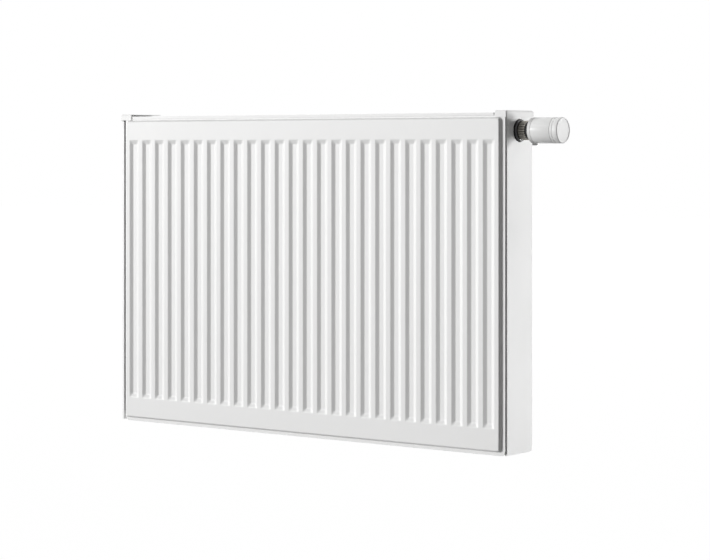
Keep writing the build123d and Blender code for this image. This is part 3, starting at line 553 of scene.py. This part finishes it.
def paint_groove_shade(made, groove):
    """Paint shade into a finish: it turns from its own colour to the near-black painted groove shade by the
    depth stored on the points.
    """
    tree = made.node_tree
    varied = next(node for node in tree.nodes if node.type == "GROUP")
    depth = tree.nodes.new("ShaderNodeAttribute")
    depth.attribute_name = "depth"
    blend = tree.nodes.new("ShaderNodeMixRGB")
    blend.inputs["Color1"].default_value = varied.inputs["Colour"].default_value
    blend.inputs["Color2"].default_value = (*groove, 1)
    tree.links.new(depth.outputs["Fac"], blend.inputs["Fac"])
    tree.links.new(blend.outputs["Color"], varied.inputs["Colour"])


def dress(piece, name):
    """Give a piece one finish as its only material."""
    piece.data.materials.clear()
    piece.data.materials.append(finish_of(name))


# Operators

class RADIATOR_OT_faces(bpy.types.Operator):
    """Make the pressed faces of the front and the rear panel"""

    bl_idname = "radiator.faces"
    bl_label = "Pressed faces"

    def execute(self, context):
        p = context.scene.radiator_pressing
        x, z, height = pressed_grid(p)
        faces = grid_faces(*x.shape, False, False)
        for name, seam_y, outward in (
                ("front_panel_face", panel_high.y, -1), ("rear_panel_face", rear_low.y, 1)):
            points = np.stack([x, seam_y + outward * height, z], axis=-1)
            outer = faces if outward < 0 else faces[:, ::-1]
            piece = make_piece(f"{name}_pressed", points, outer, "radiator", name)
            wall = piece.modifiers.new("sheet", "SOLIDIFY")
            wall.thickness = p.sheet
            wall.offset = -1
            dress(piece, SLOT_OF[name])
        return {"FINISHED"}


class RADIATOR_OT_head(bpy.types.Operator):
    """Make the hand wheel and the end cap of the valve head"""

    bl_idname = "radiator.head"
    bl_label = "Valve head"

    def execute(self, context):
        h = context.scene.radiator_head
        radius = (wheel_high.z - wheel_low.z) / 2
        inner = radius - h.wall
        start, stop = wheel_low.x, wheel_high.x
        wheel_stop = stop - h.joint_gap
        wheel = turned_piece("hand_wheel_sleeve", [
            (start, inner, h.joint), (start, radius, h.joint),
            (wheel_stop, radius, h.joint), (wheel_stop, inner, h.joint),
        ], "hand_wheel", "hand_wheel")
        face = cap_high.x - h.cap_recess
        back, hollow = face - h.cap_face, inner - h.cap_wall
        line, line_stop = stop + h.line_run, stop + h.line_run + h.joint_gap
        bottom, rim = radius - h.line_depth, radius - h.cap_rim
        tight = h.joint / 2
        cap = turned_piece("end_cap_shell", [
            (back, 0, 0), (back, hollow, h.joint),
            (cap_low.x, hollow, tight), (cap_low.x, inner, h.joint),
            (stop, inner, 0), (stop, radius, h.joint),
            (line, radius, tight), (line, bottom, tight),
            (line_stop, bottom, tight), (line_stop, radius, tight),
            (cap_high.x, radius, h.edge), (cap_high.x, rim, tight),
            (face, rim, tight), (face, 0, 0),
        ], "hand_wheel", "end_cap")
        dress(wheel, SLOT_OF["hand_wheel"])
        dress(cap, "satin_plastic")
        return {"FINISHED"}


class RADIATOR_OT_nut(bpy.types.Operator):
    """Make the knurled nut, the black collar and the snap ring behind the head"""

    bl_idname = "radiator.nut"
    bl_label = "Nut and collar"

    def execute(self, context):
        h = context.scene.radiator_head
        nut_radius = (nut_high.z - nut_low.z) / 2
        # The nut is cut short by this reach so that the snap ring's dark band, painted shade, fills the gap
        # before the head
        nut_stop = nut_high.x - h.ring_shade_reach
        bore, shoulder = nut_radius - h.nut_wall, nut_radius - h.nut_chamfer
        nut = turned_piece("union_nut_knurled", [
            (nut_low.x, bore, 0), (nut_low.x, shoulder, h.joint),
            (nut_low.x + h.nut_chamfer, nut_radius, h.joint),
            (nut_stop - h.nut_chamfer, nut_radius, h.joint),
            (nut_stop, shoulder, h.joint), (nut_stop, bore, 0),
        ], "radiator", "union_nut", segments=h.knurls * KNURL_FACES,
            knurls=h.knurls, depth=h.knurl_depth, knurl_from=shoulder - h.joint)
        mark_depth(nut, nut_radius, h.knurl_depth)
        # The nut's finish paints light: lighter plating as a painted highlight, near-black grooves as
        # painted shade
        dress(nut, "nickel_with_painted_knurl_light")
        # The nut's grooves get painted shade, near black by their depth
        paint_groove_shade(nut.data.materials[0], context.scene.radiator_finishes.groove)
        # The snap ring band: the real ring, widened into painted shade in the gap between the nut and the
        # head
        ring_radius = nut_radius - h.ring_step
        ring = turned_piece("snap_ring_painted_shade_band", [
            (nut_stop, bore, 0), (nut_stop, ring_radius, h.joint),
            (snap_high.x, ring_radius, h.joint), (snap_high.x, bore, 0),
        ], "radiator", "snap_ring")
        collar_radius = (collar_high.z - collar_low.z) / 2
        collar_bore = collar_radius - h.collar_wall
        collar = turned_piece("valve_collar_ring", [
            (collar_low.x, collar_bore, 0), (collar_low.x, collar_radius, h.joint),
            (collar_high.x, collar_radius, h.collar_edge), (collar_high.x, collar_bore, h.joint),
        ], "radiator", "valve_collar")
        dress(ring, SLOT_OF["snap_ring"])
        dress(collar, SLOT_OF["valve_collar"])
        return {"FINISHED"}


class RADIATOR_OT_parts(bpy.types.Operator):
    """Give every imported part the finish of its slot"""

    bl_idname = "radiator.parts"
    bl_label = "Packed parts"

    def execute(self, context):
        for name, slot in SLOT_OF.items():
            dress(frame["nodes"][name], slot)
        return {"FINISHED"}


class RADIATOR_OT_stage(bpy.types.Operator):
    """Make the floor, the white surroundings, the lights and the camera"""

    bl_idname = "radiator.stage"
    bl_label = "Stage"

    def execute(self, context):
        s = context.scene.radiator_stage
        scene = context.scene
        scene.view_settings.view_transform = "Standard"
        self.add_world(scene, s)
        self.add_floor(scene, s)
        self.add_sun(scene, "key", s.key_aim, s.key_spread, s.key_power)
        self.add_lamp(scene, "strip", s.strip_place, s.strip_target, s.strip_size, s.strip_power)
        self.add_lamp(scene, "side", s.side_place, s.side_target, s.side_size, s.side_power)
        self.add_lamp(scene, "top", s.top_place, s.top_target, s.top_size, s.top_power)
        self.add_camera(scene, s)
        return {"FINISHED"}

    @staticmethod
    def seen_directly(tree):
        """One for rays from the camera, a mirror or glass, and zero for the rays that carry light."""
        path = tree.nodes.new("ShaderNodeLightPath")
        total = path.outputs["Is Camera Ray"]
        for ray in ("Is Glossy Ray", "Is Transmission Ray"):
            either = tree.nodes.new("ShaderNodeMath")
            either.operation = "MAXIMUM"
            tree.links.new(total, either.inputs[0])
            tree.links.new(path.outputs[ray], either.inputs[1])
            total = either.outputs[0]
        return total

    def add_world(self, scene, s):
        """Even white light, with plain white where the surroundings are seen."""
        world = bpy.data.worlds.new("white_surroundings")
        scene.world = world
        world.use_nodes = True
        tree = world.node_tree
        even = tree.nodes["Background"]
        even.inputs["Strength"].default_value = s.world_light
        even.inputs["Color"].default_value = (1, 1, 1, 1)
        shown = tree.nodes.new("ShaderNodeBackground")
        shown.inputs["Color"].default_value = (1, 1, 1, 1)
        choose = tree.nodes.new("ShaderNodeMixShader")
        tree.links.new(self.seen_directly(tree), choose.inputs[0])
        tree.links.new(even.outputs[0], choose.inputs[1])
        tree.links.new(shown.outputs[0], choose.inputs[2])
        tree.links.new(choose.outputs[0], tree.nodes["World Output"].inputs["Surface"])

    def add_floor(self, scene, s):
        """A pale floor that keeps a faint shadow and reads white from the camera."""
        span = np.array([-s.floor_reach, s.floor_reach])
        x, y = np.meshgrid(span, span)
        points = np.stack([x, y, np.full_like(x, -s.floor_drop)], axis=-1)
        mesh = bpy.data.meshes.new("floor")
        mesh.from_pydata(points.reshape(-1, 3), [], grid_faces(*x.shape, False, False))
        floor = bpy.data.objects.new("floor", mesh)
        scene.collection.objects.link(floor)
        pale = bpy.data.materials.new("pale_floor")
        pale.use_nodes = True
        tree = pale.node_tree
        tree.nodes["Principled BSDF"].inputs["Base Color"].default_value = (*s.floor_colour, 1)
        glow = tree.nodes.new("ShaderNodeEmission")
        glow.inputs["Strength"].default_value = s.floor_glow
        part = tree.nodes.new("ShaderNodeMath")
        part.operation = "MULTIPLY"
        part.inputs[1].default_value = s.floor_share
        choose = tree.nodes.new("ShaderNodeMixShader")
        tree.links.new(self.seen_directly(tree), part.inputs[0])
        tree.links.new(part.outputs[0], choose.inputs[0])
        tree.links.new(tree.nodes["Principled BSDF"].outputs[0], choose.inputs[1])
        tree.links.new(glow.outputs[0], choose.inputs[2])
        tree.links.new(choose.outputs[0], tree.nodes["Material Output"].inputs["Surface"])
        mesh.materials.append(pale)

    @staticmethod
    def hang(scene, lamp, aim):
        """An object that holds a lamp and points along a direction."""
        holder = bpy.data.objects.new(lamp.name, lamp)
        scene.collection.objects.link(holder)
        flat = math.hypot(aim[0], aim[1])
        holder.rotation_euler = (math.atan2(flat, -aim[2]), 0, math.atan2(-aim[0], aim[1]))
        return holder

    def add_sun(self, scene, name, aim, spread, power):
        """A far light of a given spread, with the same strength everywhere."""
        lamp = bpy.data.lights.new(name, "SUN")
        lamp.angle = math.radians(spread)
        lamp.energy = power
        self.hang(scene, lamp, aim)

    def add_lamp(self, scene, name, location, target, size, power):
        """A soft light of a given width and height that points at a target."""
        lamp = bpy.data.lights.new(name, "AREA")
        lamp.shape = "RECTANGLE"
        lamp.size, lamp.size_y = size
        lamp.energy = power
        self.hang(scene, lamp, np.array(target) - np.array(location)).location = location

    @staticmethod
    def add_camera(scene, s):
        """The camera of the photograph: level, turned to the left, with the horizon above the middle."""
        lens = bpy.data.cameras.new("photo_view")
        lens.sensor_width = SENSOR_WIDTH
        lens.sensor_fit = "HORIZONTAL"
        lens.lens = s.focal_px / PHOTO_WIDTH * SENSOR_WIDTH
        lens.shift_y = -s.horizon_px / PHOTO_WIDTH
        camera = bpy.data.objects.new("photo_view", lens)
        scene.collection.objects.link(camera)
        camera.location = s.camera_place
        camera.rotation_euler = (math.pi / 2, 0, math.radians(s.camera_turn))
        scene.camera = camera


class RADIATOR_PT_sidebar(bpy.types.Panel):
    """Lists the steps that build the looks"""

    bl_idname = "RADIATOR_PT_sidebar"
    bl_label = "Panel radiator"
    bl_space_type = "VIEW_3D"
    bl_region_type = "UI"
    bl_category = "Radiator"

    def draw(self, context):
        for step in STEPS:
            self.layout.operator(step.bl_idname)


STEPS = (RADIATOR_OT_parts, RADIATOR_OT_faces, RADIATOR_OT_head, RADIATOR_OT_nut, RADIATOR_OT_stage)
GROUPS = {
    "radiator_pressing": RadiatorPressing, "radiator_head": RadiatorHead,
    "radiator_finishes": RadiatorFinishes, "radiator_stage": RadiatorStage,
}


def register():
    for group in (*GROUPS.values(), *STEPS, RADIATOR_PT_sidebar):
        bpy.utils.register_class(group)
    for name, group in GROUPS.items():
        setattr(bpy.types.Scene, name, bpy.props.PointerProperty(type=group))


def unregister():
    for name in GROUPS:
        delattr(bpy.types.Scene, name)
    for group in reversed((*GROUPS.values(), *STEPS, RADIATOR_PT_sidebar)):
        bpy.utils.unregister_class(group)


def main():
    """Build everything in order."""
    register()
    bpy.ops.radiator.parts()
    bpy.ops.radiator.faces()
    bpy.ops.radiator.head()
    bpy.ops.radiator.nut()
    bpy.ops.radiator.stage()


if __name__ == "__main__":
    main()
